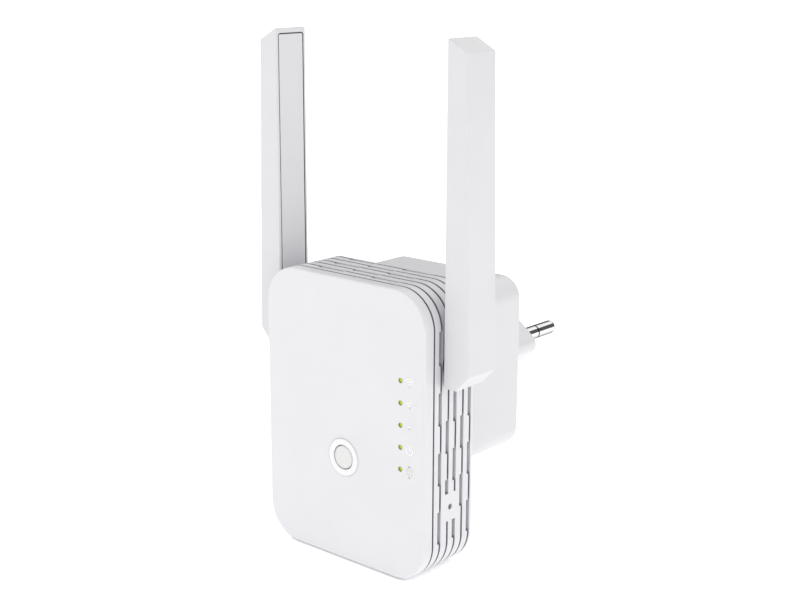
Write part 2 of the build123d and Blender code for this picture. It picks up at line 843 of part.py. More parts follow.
# ---------------------------------------------------------------- power board and what it carries
power_half_width = block_inner_half_width - power_board_side_gap
power_half_height = block_inner_half_height - power_board_side_gap
left_column_x = power_part_gap + bulk_diameter / 2 - power_half_width
right_column_x = power_half_width - power_part_gap - output_diameter / 2
bulk_z = block_mid_z + power_half_height - power_part_gap - bulk_diameter / 2
output_z = block_mid_z + power_half_height - power_part_gap - output_diameter / 2
output_places = [(right_column_x, output_z), (right_column_x, output_z - output_diameter - power_part_gap)]
choke_z = bulk_z - bulk_diameter / 2 - power_part_gap - choke_diameter / 2
fuse_z = choke_z - choke_diameter / 2 - power_part_gap - fuse_diameter / 2
low_row_z = block_mid_z - power_half_height + power_part_gap + suppressor_height / 2
transformer_y = power_board_y - transformer_depth
transformer_z = block_mid_z + power_part_gap
lead_x = power_half_width - lead_inset
lead_z = block_mid_z - power_half_height + lead_rise
lead_places = [(lead_x - lead_pitch / 2, lead_z), (lead_x + lead_pitch / 2, lead_z)]

with BuildPart() as power_board:
    with BuildSketch(body_plane(power_board_y)):
        with Locations((0, block_mid_z)):
            RectangleRounded(2 * power_half_width, 2 * power_half_height, block_corner - block_wall)
    extrude(amount=-power_board_thickness)
finish(power_board.part, "power_board")

with BuildPart() as transformer_core:
    with BuildSketch(body_plane(transformer_y)):
        with Locations((0, transformer_z)):
            Rectangle(transformer_width, transformer_height)
    extrude(amount=-transformer_depth)
    window_width = (winding_diameter - transformer_leg) / 2 + 2 * winding_fit
    window_x = transformer_leg / 2 + window_width / 2 - winding_fit
    with BuildSketch(body_plane(transformer_y + transformer_plate)):
        with Locations((-window_x, transformer_z), (window_x, transformer_z)):
            Rectangle(window_width, transformer_height)
        with Locations((0, transformer_z)):
            Rectangle(2 * window_x, transformer_height)
            Circle(transformer_leg / 2 - winding_fit, mode=Mode.SUBTRACT)
    extrude(amount=-(transformer_depth - 2 * transformer_plate), mode=Mode.SUBTRACT)
finish(transformer_core.part, "transformer_core")

with BuildPart() as transformer_winding:
    with BuildSketch(body_plane(transformer_y + transformer_plate)):
        with Locations((0, transformer_z)):
            Circle(winding_diameter / 2)
            Circle(transformer_leg / 2, mode=Mode.SUBTRACT)
    extrude(amount=-(transformer_depth - 2 * transformer_plate))
finish(transformer_winding.part, "transformer_winding")

with BuildPart() as bulk_capacitor:
    with BuildSketch(body_plane(power_board_y - bulk_length)):
        with Locations((left_column_x, bulk_z)):
            Circle(bulk_diameter / 2)
    extrude(amount=-bulk_length)
    fillet(bulk_capacitor.faces().sort_by(Axis.Y)[0].edges(), bulk_round)
finish(bulk_capacitor.part, "bulk_capacitor")

with BuildPart() as output_capacitors:
    with BuildSketch(body_plane(power_board_y - output_length)):
        with Locations(*output_places):
            Circle(output_diameter / 2)
    extrude(amount=-output_length)
finish(output_capacitors.part, "output_capacitors")

with BuildPart() as mains_choke:
    with BuildSketch(body_plane(power_board_y - choke_length)):
        with Locations((left_column_x, choke_z)):
            Circle(choke_diameter / 2)
    extrude(amount=-choke_length)
    with BuildSketch(body_plane(power_board_y - choke_length + choke_flange)):
        with Locations((left_column_x, choke_z)):
            Circle(choke_diameter / 2)
            Circle(choke_waist / 2, mode=Mode.SUBTRACT)
    extrude(amount=-(choke_length - 2 * choke_flange), mode=Mode.SUBTRACT)
finish(mains_choke.part, "mains_choke")

with BuildPart() as fuse:
    with BuildSketch(body_plane(power_board_y - fuse_length)):
        with Locations((left_column_x, fuse_z)):
            Circle(fuse_diameter / 2)
    extrude(amount=-fuse_length)
    fillet(fuse.faces().sort_by(Axis.Y)[0].edges(), fuse_round)
finish(fuse.part, "fuse")

with BuildPart() as bridge_rectifier:
    with BuildSketch(body_plane(power_board_y - rectifier_depth)):
        with Locations((left_column_x, low_row_z)):
            Rectangle(rectifier_width, rectifier_height)
    extrude(amount=-rectifier_depth)
finish(bridge_rectifier.part, "bridge_rectifier")

with BuildPart() as suppression_capacitor:
    with BuildSketch(body_plane(power_board_y - suppressor_depth)):
        with Locations((0, low_row_z)):
            RectangleRounded(suppressor_width, suppressor_height, suppressor_corner)
    extrude(amount=-suppressor_depth)
finish(suppression_capacitor.part, "suppression_capacitor")

# ---------------------------------------------------------------- DC connector, leads, insulation sheet
with BuildPart() as dc_connector:
    with BuildSketch(body_plane(board_back_y)):
        with Locations((lead_x, lead_z)):
            Rectangle(dc_connector_width, dc_connector_height)
    extrude(amount=-dc_connector_depth)
finish(dc_connector.part, "dc_connector")

with BuildPart() as dc_leads:
    with BuildSketch(body_plane(board_back_y + dc_connector_depth)):
        with Locations(*lead_places):
            Circle(lead_diameter / 2)
    extrude(amount=-(power_board_y - board_back_y - dc_connector_depth))
finish(dc_leads.part, "dc_leads")

with BuildPart() as insulation_sheet:
    with BuildSketch(body_plane(flange_y - sheet_thickness)):
        with Locations((0, block_mid_z)):
            RectangleRounded(
                2 * (block_inner_half_width + sheet_margin),
                2 * (block_inner_half_height + sheet_margin),
                block_corner - block_wall + sheet_margin,
            )
        with Locations((lead_x, lead_z)):
            Rectangle(
                lead_pitch + lead_diameter + 2 * lead_clearance,
                lead_diameter + 2 * lead_clearance,
                mode=Mode.SUBTRACT,
            )
        with Locations(*flange_ear_places):
            SlotOverall(
                2 * (boss_diameter + slip_fit), boss_diameter + 2 * slip_fit, rotation=90,
                mode=Mode.SUBTRACT,
            )
    extrude(amount=-sheet_thickness)
finish(insulation_sheet.part, "insulation_sheet")

# ---------------------------------------------------------------- screws and rating plate
with BuildPart() as board_screws:
    with BuildSketch(body_plane(board_back_y)):
        with Locations(*cover_boss_places):
            Circle(screw_head_diameter / 2)
    extrude(amount=-screw_head_height)
    with BuildSketch(body_plane(front_y + front_wall + screw_tip_gap)):
        with Locations(*cover_boss_places):
            Circle(screw_diameter / 2)
    extrude(amount=-(board_back_y - front_y - front_wall - screw_tip_gap))
finish(board_screws.part, "board_screws")

with BuildPart() as case_screws:
    with BuildSketch(body_plane(back_y - screw_head_height)):
        with Locations(*case_screw_places):
            Circle(screw_head_diameter / 2)
    extrude(amount=-screw_head_height)
    with BuildSketch(body_plane(back_y - screw_head_height - case_screw_length)):
        with Locations(*case_screw_places):
            Circle(screw_diameter / 2)
    extrude(amount=-case_screw_length)
    with BuildSketch(body_plane(back_y - cross_depth)):
        with Locations(*case_screw_places):
            Rectangle(cross_length, cross_width)
            Rectangle(cross_width, cross_length)
    extrude(amount=-cross_depth, mode=Mode.SUBTRACT)
finish(case_screws.part, "case_screws")

with BuildPart() as housing_screws:
    with BuildSketch(body_plane(flange_y - flange_thickness - screw_head_height)):
        with Locations(*flange_ear_places):
            Circle(screw_head_diameter / 2)
    extrude(amount=-screw_head_height)
    with BuildSketch(body_plane(flange_y - flange_thickness)):
        with Locations(*flange_ear_places):
            Circle(screw_diameter / 2)
    extrude(amount=-(2 * flange_thickness + housing_screw_bite - screw_fit))
finish(housing_screws.part, "housing_screws")

plate_z = plate_rise + plate_height / 2 - half_height

with BuildPart() as rating_plate:
    with BuildSketch(body_plane(back_y)):
        with Locations((0, plate_z)):
            RectangleRounded(plate_width, plate_height, plate_corner)
    extrude(amount=-plate_thickness)
finish(rating_plate.part, "rating_plate")

# ---------------------------------------------------------------- antennas
# The right one is made here; the left one is its mirror image in the plane X = 0.
antenna_y = hinge_y - antenna_width / 2
antenna_top_outer = (antenna_x + antenna_thick_top, antenna_top_z - antenna_top_slant)
antenna_heel_outer = (antenna_x + antenna_thick_bottom, antenna_bottom_z + antenna_heel_height)
antenna_heel_inner = (antenna_x + antenna_thick_bottom - antenna_heel_width, antenna_bottom_z)
pocket_half_width = antenna_width / 2 - antenna_cover_margin
pocket_top_z = antenna_top_z - antenna_cover_top_margin
pocket_bottom_z = antenna_bottom_z + antenna_cover_margin
pocket_mid = (0, (pocket_top_z + pocket_bottom_z) / 2 - hinge_z)
pocket_height = pocket_top_z - pocket_bottom_z
cover_inner_x = antenna_x + antenna_cover_thickness


def antenna_profile(inset):
    """Side-on outline: straight inner edge, slanted top, tapering outer edge and chamfered heel."""
    with BuildSketch() as profile:
        with BuildLine():
            Polyline(
                (antenna_x, antenna_bottom_z),
                antenna_heel_inner,
                antenna_heel_outer,
                antenna_top_outer,
                (antenna_x, antenna_top_z),
                close=True,
            )
        make_face()
        if inset:
            offset(amount=-inset, kind=Kind.INTERSECTION)
    return profile.sketch


with BuildPart() as antenna_shell:
    with BuildSketch(body_plane(antenna_y)):
        add(antenna_profile(0))
    extrude(amount=-antenna_width)
    fillet(antenna_shell.edges(), antenna_round)
    with BuildSketch(hinge_plane(antenna_x)):
        with Locations(pocket_mid):
            RectangleRounded(2 * pocket_half_width, pocket_height, antenna_cover_corner)
    extrude(amount=antenna_cover_thickness, mode=Mode.SUBTRACT)
    with BuildSketch(body_plane(antenna_y + antenna_cover_margin + antenna_ledge)):
        add(antenna_profile(antenna_wall))
    extrude(amount=-(2 * pocket_half_width - 2 * antenna_ledge), mode=Mode.SUBTRACT)
    # Room for the hub's flange
    with BuildSketch(hinge_plane(cover_inner_x)):
        Circle(hub_diameter / 2 + hub_flange_width + hub_flange_room)
    extrude(amount=hub_flange_thickness + hub_flange_room, mode=Mode.SUBTRACT)

with BuildPart() as antenna_cover:
    with BuildSketch(hinge_plane(antenna_x)):
        with Locations(pocket_mid):
            RectangleRounded(
                2 * (pocket_half_width - antenna_cover_fit),
                pocket_height - 2 * antenna_cover_fit,
                antenna_cover_corner - antenna_cover_fit,
            )
    extrude(amount=antenna_cover_thickness)
    fillet(antenna_cover.faces().sort_by(Axis.X)[0].edges(), antenna_cover_round)
    with BuildSketch(hinge_plane(half_width + pivot_boss_gap)):
        Circle(pivot_boss_diameter / 2)
    extrude(amount=antenna_x - half_width - pivot_boss_gap)
    with BuildSketch(hinge_plane(half_width + pivot_boss_gap)):
        Circle(hub_hole_diameter / 2)
    extrude(amount=cover_inner_x - half_width - pivot_boss_gap, mode=Mode.SUBTRACT)

hub_end_x = inner_half_width - hub_inside
washer_x = inner_half_width - washer_gap - washer_thickness
clip_x = washer_x - clip_thickness
clip_radius = hub_diameter / 2 + clip_width

with BuildPart() as hinge_hub:
    with BuildSketch(hinge_plane(hub_end_x)):
        Circle(hub_diameter / 2)
    extrude(amount=cover_inner_x - hub_end_x)
    with BuildSketch(hinge_plane(cover_inner_x)):
        Circle(hub_diameter / 2 + hub_flange_width)
    extrude(amount=hub_flange_thickness)
    with BuildSketch(hinge_plane(clip_x - clip_fit)):
        Circle(hub_diameter / 2 + clip_groove_depth)
        Circle(hub_diameter / 2 - clip_groove_depth, mode=Mode.SUBTRACT)
    extrude(amount=clip_thickness + clip_fit, mode=Mode.SUBTRACT)
    with BuildSketch(hinge_plane(hub_end_x)):
        Circle(hub_bore / 2)
    extrude(amount=cover_inner_x + hub_flange_thickness - hub_end_x, mode=Mode.SUBTRACT)

with BuildPart() as friction_washer:
    with BuildSketch(hinge_plane(washer_x)):
        Circle(hub_hole_diameter / 2 + washer_width)
        Circle(hub_hole_diameter / 2, mode=Mode.SUBTRACT)
    extrude(amount=washer_thickness)

with BuildPart() as retaining_clip:
    with BuildSketch(hinge_plane(clip_x)):
        Circle(clip_radius)
        Circle(hub_diameter / 2 - clip_groove_depth + clip_fit, mode=Mode.SUBTRACT)
        with Locations((0, -clip_radius)):
            Rectangle(clip_mouth, 2 * clip_radius, mode=Mode.SUBTRACT)
    extrude(amount=clip_thickness)

coax_run_x = antenna_x + antenna_thick_bottom - antenna_wall - coax_wall_gap - coax_diameter / 2
element_x = coax_run_x - coax_diameter / 2 - element_thickness
element_bottom_z = hinge_z + element_start
element_top_z = antenna_top_z - antenna_top_slant - element_end_gap

with BuildPart() as antenna_element:
    with BuildSketch(hinge_plane(element_x)):
        with Locations((0, (element_bottom_z + element_top_z) / 2 - hinge_z)):
            Rectangle(element_width, element_top_z - element_bottom_z)
    extrude(amount=element_thickness)

with BuildPart() as antenna_coax:
    with BuildLine() as antenna_coax_path:
        FilletPolyline(
            (hub_end_x + coax_gap / 2, hinge_y, body_mid_z + hinge_z),
            (coax_run_x, hinge_y, body_mid_z + hinge_z),
            (coax_run_x, hinge_y, body_mid_z + hinge_z + coax_run),
            radius=coax_bend,
        )
    with BuildSketch(Plane(origin=antenna_coax_path.line @ 0, z_dir=antenna_coax_path.line % 0)):
        Circle(coax_diameter / 2)
    sweep()

with BuildPart() as body_coax:
    with BuildLine() as body_coax_path:
        FilletPolyline(
            (hub_end_x - coax_gap / 2, hinge_y, body_mid_z + hinge_z),
            (connector_x + coax_diameter / 2, hinge_y, body_mid_z + hinge_z),
            (
                connector_x,
                board_back_y + connector_height / 2,
                body_mid_z + connector_z + connector_diameter / 2 + coax_diameter / 4,
            ),
            radius=coax_lead_bend,
        )
    with BuildSketch(Plane(origin=body_coax_path.line @ 0, z_dir=body_coax_path.line % 0)):
        Circle(coax_diameter / 2)
    sweep()

antenna_pieces = {
    "antenna_shell": antenna_shell,
    "antenna_cover": antenna_cover,
    "hinge_hub": hinge_hub,
    "friction_washer": friction_washer,
    "retaining_clip": retaining_clip,
    "antenna_element": antenna_element,
    "antenna_coax": antenna_coax,
    "body_coax": body_coax,
}
for piece_name, piece in antenna_pieces.items():
    with BuildPart() as mirrored:
        mirror(piece.part, about=Plane.YZ)
    finish(piece.part, f"right_{piece_name}")
    finish(mirrored.part, f"left_{piece_name}")
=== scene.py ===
# %% [markdown]
# # A plug-in wifi range extender
#
# The object is a flat white box that hangs on a mains socket. Its side wall is ribbed and slotted
# so that warm air can leave, two flat antennas fold on its sides, and a deep block behind it
# carries the mains plug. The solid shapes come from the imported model, in metres, with +Z up and
# +Y towards the wall. This lesson gives each of them a finish and adds the printed and wound
# detail that a solid model leaves out.

# %% Load the frame
import math

import bmesh
import bpy
from mathutils import Matrix, Vector


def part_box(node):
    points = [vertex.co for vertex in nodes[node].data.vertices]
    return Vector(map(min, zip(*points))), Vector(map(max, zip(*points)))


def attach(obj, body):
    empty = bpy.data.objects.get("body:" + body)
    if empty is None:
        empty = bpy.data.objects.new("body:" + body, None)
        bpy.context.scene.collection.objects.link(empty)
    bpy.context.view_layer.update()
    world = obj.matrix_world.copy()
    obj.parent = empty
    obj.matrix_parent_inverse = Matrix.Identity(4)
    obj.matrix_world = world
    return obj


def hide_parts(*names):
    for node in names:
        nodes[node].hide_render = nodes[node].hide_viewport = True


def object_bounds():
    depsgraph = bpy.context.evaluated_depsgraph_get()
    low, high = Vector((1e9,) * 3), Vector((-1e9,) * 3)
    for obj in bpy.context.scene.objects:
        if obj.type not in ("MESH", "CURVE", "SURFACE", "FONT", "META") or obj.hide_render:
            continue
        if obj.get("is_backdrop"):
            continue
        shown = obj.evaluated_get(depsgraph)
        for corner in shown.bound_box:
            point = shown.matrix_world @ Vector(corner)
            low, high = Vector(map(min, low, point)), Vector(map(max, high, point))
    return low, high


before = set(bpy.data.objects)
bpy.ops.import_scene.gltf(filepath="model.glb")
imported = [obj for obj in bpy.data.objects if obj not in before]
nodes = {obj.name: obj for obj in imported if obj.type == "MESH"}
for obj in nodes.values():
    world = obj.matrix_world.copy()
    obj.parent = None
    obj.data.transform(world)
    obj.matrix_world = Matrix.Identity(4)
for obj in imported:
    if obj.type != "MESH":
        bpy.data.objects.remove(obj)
cad_low, cad_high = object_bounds()
MM = 0.001


# %% [markdown]
# ## A small vocabulary for shader nodes
#
# Every finish here is worked out by a formula at each point, from the point's own place on the
# piece (Object coordinates), so nothing slides when a part moves. The helpers below are the whole
# vocabulary: a grain (noise of a given size), a spread of colour or of a number over that grain,
# and a relief that tilts the surface. Numbers that are the same all over go straight on the shader.

# %% Shader helpers
def start_finish(name, **settings):
    """New material: returns it with its node tree, its shader and its object coordinates."""
    material = bpy.data.materials.new(name)
    material.use_nodes = True
    tree = material.node_tree
    shader = tree.nodes["Principled BSDF"]
    for socket, value in settings.items():
        shader.inputs[socket.replace("_", " ")].default_value = value
    place = tree.nodes.new("ShaderNodeTexCoord").outputs["Object"]
    return material, tree, shader, place


def grain(tree, place, size, detail=2.0, stretch=(1, 1, 1)):
    """Cloudy noise whose features are about `size` metres across."""
    mapping = tree.nodes.new("ShaderNodeMapping")
    mapping.inputs["Scale"].default_value = [s / size for s in stretch]
    tree.links.new(place, mapping.inputs["Vector"])
    noise = tree.nodes.new("ShaderNodeTexNoise")
    noise.inputs["Scale"].default_value = 1.0
    noise.inputs["Detail"].default_value = detail
    tree.links.new(mapping.outputs["Vector"], noise.inputs["Vector"])
    return noise.outputs["Fac"]


def spread_colour(tree, shader, amount, low, high, start=0.35, end=0.65):
    """Base colour that runs from `low` to `high` as `amount` goes from start to end."""
    ramp = tree.nodes.new("ShaderNodeValToRGB")
    ramp.color_ramp.elements[0].position = start
    ramp.color_ramp.elements[1].position = end
    ramp.color_ramp.elements[0].color = (*low, 1)
    ramp.color_ramp.elements[1].color = (*high, 1)
    tree.links.new(amount, ramp.inputs["Fac"])
    tree.links.new(ramp.outputs["Color"], shader.inputs["Base Color"])
    return ramp


def spread_value(tree, amount, socket, low, high):
    """Lets a number on the shader run from `low` to `high` with `amount`."""
    reach = tree.nodes.new("ShaderNodeMapRange")
    reach.inputs["From Min"].default_value = 0.3
    reach.inputs["From Max"].default_value = 0.7
    reach.inputs["To Min"].default_value = low
    reach.inputs["To Max"].default_value = high
    tree.links.new(amount, reach.inputs["Value"])
    tree.links.new(reach.outputs["Result"], socket)


def relief(tree, shader, height, depth):
    """Tilts the surface as if `height` stood up to `depth` metres out of it."""
    bump = tree.nodes.new("ShaderNodeBump")
    bump.inputs["Strength"].default_value = 1.0
    bump.inputs["Distance"].default_value = depth
    tree.links.new(height, bump.inputs["Height"])
    tree.links.new(bump.outputs["Normal"], shader.inputs["Normal"])


def dress(material, *names):
    """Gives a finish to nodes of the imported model, in their first slot."""
    for name in names:
        nodes[name].data.materials[0] = material


# %% [markdown]
# ## White moulded plastic
#
# The cases are injection-moulded ABS. Up close such a wall isn't one flat white: the mould's
# spark-eroded skin gives a fine even grain, the resin flows leave faint clouds, and the gloss
# varies a little. Three noises of very different sizes carry these three facts. The plastic is a
# touch bluer than grey, so the depths of the vents, where light bounces many times, turn lavender.
# Grooves, gaps and seams a fraction of a millimetre wide hold hardly any light, and that shade is
# also painted into the colour. An Ambient Occlusion node looks at how closed-in each point is over
# a millimetre or so, and cools and darkens the resin's colour there as painted shade. It looks at
# every piece in the scene, so the painted shade is worked out again when a part moves.

# %% Case plastics
# Colour of the painted shade that is multiplied into grooves, gaps and seams.
PAINTED_RESIN_SHADE = (0.3, 0.29, 0.34)
GLOSS_PATCHES = 0.04


def paint_hollow_shade(tree, shader, colour, reach, shade):
    """Painted shade: multiplies the base colour by `shade` where walls within `reach` close in."""
    closed_in = tree.nodes.new("ShaderNodeAmbientOcclusion")
    closed_in.samples = 8
    closed_in.inputs["Distance"].default_value = reach
    painted_shade_ramp = tree.nodes.new("ShaderNodeValToRGB")
    painted_shade_ramp.color_ramp.elements[0].position = 0.5
    painted_shade_ramp.color_ramp.elements[1].position = 0.95
    painted_shade_ramp.color_ramp.elements[0].color = (*shade, 1)
    painted_shade_ramp.color_ramp.elements[1].color = (1, 1, 1, 1)
    tree.links.new(closed_in.outputs["AO"], painted_shade_ramp.inputs["Fac"])
    product = tree.nodes.new("ShaderNodeMix")
    product.data_type = "RGBA"
    product.blend_type = "MULTIPLY"
    product.inputs["Factor"].default_value = 1.0
    tree.links.new(colour, product.inputs["A"])
    tree.links.new(painted_shade_ramp.outputs["Color"], product.inputs["B"])
    tree.links.new(product.outputs["Result"], shader.inputs["Base Color"])


def moulded_plastic(
    name, low, high, gloss, skin=0.22 * MM, skin_depth=0.0035 * MM, painted_shade_reach=0.0, **settings
):
    """Satin moulded plastic: clouds in the colour, patches in the gloss, a fine mould skin."""
    material, tree, shader, place = start_finish(name, IOR=1.5, **settings)
    clouds = spread_colour(tree, shader, grain(tree, place, 14 * MM), low, high)
    # Painted shade in grooves, gaps and seams: the base colour darkens where walls close in.
    if painted_shade_reach:
        paint_hollow_shade(tree, shader, clouds.outputs["Color"], painted_shade_reach, PAINTED_RESIN_SHADE)
    patches = grain(tree, place, 3 * MM, detail=4.0)
    roughness = shader.inputs["Roughness"]
    spread_value(tree, patches, roughness, gloss - GLOSS_PATCHES, gloss + GLOSS_PATCHES)
    relief(tree, shader, grain(tree, place, skin, detail=1.0), skin_depth)
    return material


# Both case whites carry painted shade in their grooves, gaps and seams.
case_white = moulded_plastic(
    "case_white", (0.712, 0.703, 0.742), (0.726, 0.717, 0.756), gloss=0.36, painted_shade_reach=1.0 * MM
)
# A darker copy of the case white for the antennas and the power block: painted shade, since those
# parts sit back from the front and get less light.
second_white = moulded_plastic(
    "second_white", (0.672, 0.664, 0.7), (0.684, 0.676, 0.712), gloss=0.38, painted_shade_reach=0.8 * MM
)
button_white = moulded_plastic(
    "button_white", (0.7, 0.699, 0.71), (0.714, 0.713, 0.724), gloss=0.3
)
ring_white = moulded_plastic(
    "ring_white", (0.82, 0.815, 0.84), (0.84, 0.835, 0.86), gloss=0.12, skin_depth=0.001 * MM
)
hub_white = moulded_plastic("hub_white", (0.76, 0.76, 0.77), (0.8, 0.8, 0.81), gloss=0.3)
SIDES = ("left", "right")
antenna_names = [f"{side}_antenna_{part}" for side in SIDES for part in ("shell", "cover")]
dress(case_white, "front_cover", "vent_housing")
dress(second_white, "power_housing", "plug_base", *antenna_names)
dress(button_white, "wps_button")
dress(ring_white, "button_ring")
dress(hub_white, "left_hinge_hub", "right_hinge_hub")
print("white plastics", case_white.name, button_white.name, ring_white.name, hub_white.name)

# %% [markdown]
# ## Lit lamps
#
# Each status lamp is the end of a clear light guide over a yellow-green LED, so it glows from
# within: brightest in the middle of the tip and dimmer towards the wall of its hole. Emission on
# the same shader makes it glow, without that fall-off, and a fine grain stands for the frosted end.

# %% Light guide and LEDs
def glowing_plastic(name, low, high, power):
    """Frosted clear plastic that carries light of its own colour."""
    material, tree, shader, place = start_finish(name, Roughness=0.25, Emission_Strength=power)
    ramp = spread_colour(tree, shader, grain(tree, place, 0.5 * MM), low, high)
    tree.links.new(ramp.outputs["Color"], shader.inputs["Emission Color"])
    relief(tree, shader, grain(tree, place, 0.1 * MM), 0.002 * MM)
    return material


lamp_glow = glowing_plastic("lamp_glow", (0.40, 0.47, 0.0), (0.44, 0.51, 0.002), power=0.12)
led_body = glowing_plastic("led_body", (0.7, 0.75, 0.3), (0.9, 0.95, 0.5), power=0.6)
dress(lamp_glow, "light_guide")
dress(led_body, "led_chips")

# %% [markdown]
# ## Metals
#
# A metal's look is its polish direction. The mains pins are turned on a lathe and nickel plated,
# so their fine lines run round them: the grain is stretched across the pin and very short along
# it. Stamped sheet keeps the long lines of the rolling mill, and screws a dull zinc bloom.

# %% Metal finishes
# Near-black colour of the painted shade that is multiplied into the pins' ring groove.
PAINTED_METAL_SHADE = (0.02, 0.02, 0.02)


def brushed_metal(
    name, low, high, gloss, size=0.4 * MM, stretch=(1, 1, 1), depth=0.002 * MM,
    painted_shade_reach=0.0, edge=1.0,
):
    """Metal with polishing lines drawn out by `stretch`; `edge` below 1 dims it at a slant."""
    edge_tint = (edge, edge, edge, 1)
    material, tree, shader, place = start_finish(name, Metallic=1.0, Specular_Tint=edge_tint)
    lines = grain(tree, place, size, detail=3.0, stretch=stretch)
    plating = spread_colour(tree, shader, lines, low, high)
    # Painted shade: the plating colour darkens towards black where walls close in.
    if painted_shade_reach:
        paint_hollow_shade(tree, shader, plating.outputs["Color"], painted_shade_reach, PAINTED_METAL_SHADE)
    spread_value(tree, lines, shader.inputs["Roughness"], gloss * 0.8, gloss * 1.3)
    relief(tree, shader, lines, depth)
    return material


round_the_pin = (0.3, 6.0, 0.3)
along_the_sheet = (0.2, 1.0, 6.0)
# The pins get painted shade: their ring groove darkens nearly to black.
pin_nickel = brushed_metal(
    "pin_nickel", (0.78, 0.78, 0.79), (0.86, 0.86, 0.87), 0.07, stretch=round_the_pin,
    depth=0.0004 * MM, painted_shade_reach=1.2 * MM, edge=0.1,
)
gold = brushed_metal("gold", (0.86, 0.62, 0.25), (0.95, 0.72, 0.33), 0.2)
brass = brushed_metal(
    "brass", (0.72, 0.53, 0.25), (0.82, 0.63, 0.32), 0.25, stretch=along_the_sheet
)
tin_steel = brushed_metal(
    "tin_steel", (0.62, 0.62, 0.62), (0.75, 0.75, 0.75), 0.3, stretch=along_the_sheet
)
aluminium = brushed_metal(
    "aluminium", (0.68, 0.69, 0.7), (0.8, 0.81, 0.82), 0.35, stretch=along_the_sheet
)
zinc = brushed_metal("zinc", (0.45, 0.46, 0.48), (0.66, 0.67, 0.69), 0.32, size=0.25 * MM)
copper = brushed_metal("copper", (0.55, 0.2, 0.08), (0.72, 0.3, 0.12), 0.22, size=0.3 * MM)
dress(pin_nickel, "left_pin", "right_pin")
dress(brass, "contact_strips")
dress(gold, "jack_contacts", "coax_connectors")
hinge_parts = ("friction_washer", "retaining_clip")
hinge_metal = [f"{side}_{part}" for side in SIDES for part in hinge_parts]
dress(tin_steel, "shield_can", *hinge_metal)
dress(aluminium, "heat_sink")
dress(zinc, "board_screws", "case_screws", "housing_screws")
dress(copper, "mains_choke")

# %% [markdown]
# ## Circuit boards
#
# A board is glass weave under green solder mask, with copper tracks that show through as lighter
# green lines and bare tinned pads where parts could sit. A brick pattern of long thin bricks makes
# the tracks, since its mortar lines run straight and turn at right angles, and round cells of a
# Voronoi pattern make the pads.

# %% Board finish
def circuit_board(name, track_pitch=1.6 * MM, pad_pitch=2.5 * MM):
    """Green solder mask with tracks and pads, facing +Y or +X."""
    material, tree, shader, place = start_finish(name, Roughness=0.35, Coat_Weight=0.4)
    swap = tree.nodes.new("ShaderNodeMapping")
    swap.inputs["Rotation"].default_value = (math.radians(90), 0, 0)
    swap.inputs["Scale"].default_value = (1 / track_pitch,) * 3
    tree.links.new(place, swap.inputs["Vector"])
    bricks = tree.nodes.new("ShaderNodeTexBrick")
    bricks.inputs["Scale"].default_value = 1.0
    bricks.inputs["Mortar Size"].default_value = 0.08
    bricks.inputs["Brick Width"].default_value = 5.0
    bricks.inputs["Row Height"].default_value = 0.5
    bricks.inputs["Color1"].default_value = (0.012, 0.11, 0.04, 1)
    bricks.inputs["Color2"].default_value = (0.015, 0.13, 0.05, 1)
    bricks.inputs["Mortar"].default_value = (0.03, 0.24, 0.09, 1)
    tree.links.new(swap.outputs["Vector"], bricks.inputs["Vector"])
    cells = tree.nodes.new("ShaderNodeTexVoronoi")
    cells.inputs["Scale"].default_value = 1 / pad_pitch
    tree.links.new(place, cells.inputs["Vector"])
    pad_reach = 0.14
    pads = tree.nodes.new("ShaderNodeMath")
    pads.operation = "LESS_THAN"
    pads.inputs[1].default_value = pad_reach
    tree.links.new(cells.outputs["Distance"], pads.inputs[0])
    mix = tree.nodes.new("ShaderNodeMix")
    mix.data_type = "RGBA"
    mix.inputs["B"].default_value = (0.62, 0.6, 0.55, 1)
    tree.links.new(pads.outputs["Value"], mix.inputs["Factor"])
    tree.links.new(bricks.outputs["Color"], mix.inputs["A"])
    tree.links.new(mix.outputs["Result"], shader.inputs["Base Color"])
    tree.links.new(pads.outputs["Value"], shader.inputs["Metallic"])
    relief(tree, shader, bricks.outputs["Fac"], 0.02 * MM)
    return material


board_green = circuit_board("board_green")
dress(board_green, "main_board", "power_board", "left_antenna_element", "right_antenna_element")

# %% [markdown]
# ## Everything else inside
#
# The parts inside are moulded, wrapped or sintered. They differ in colour, gloss and the size of
# their grain, so one loop over a short list makes and assigns them all with the same plastic
# recipe: low and high colour, gloss, and the depth of the skin.

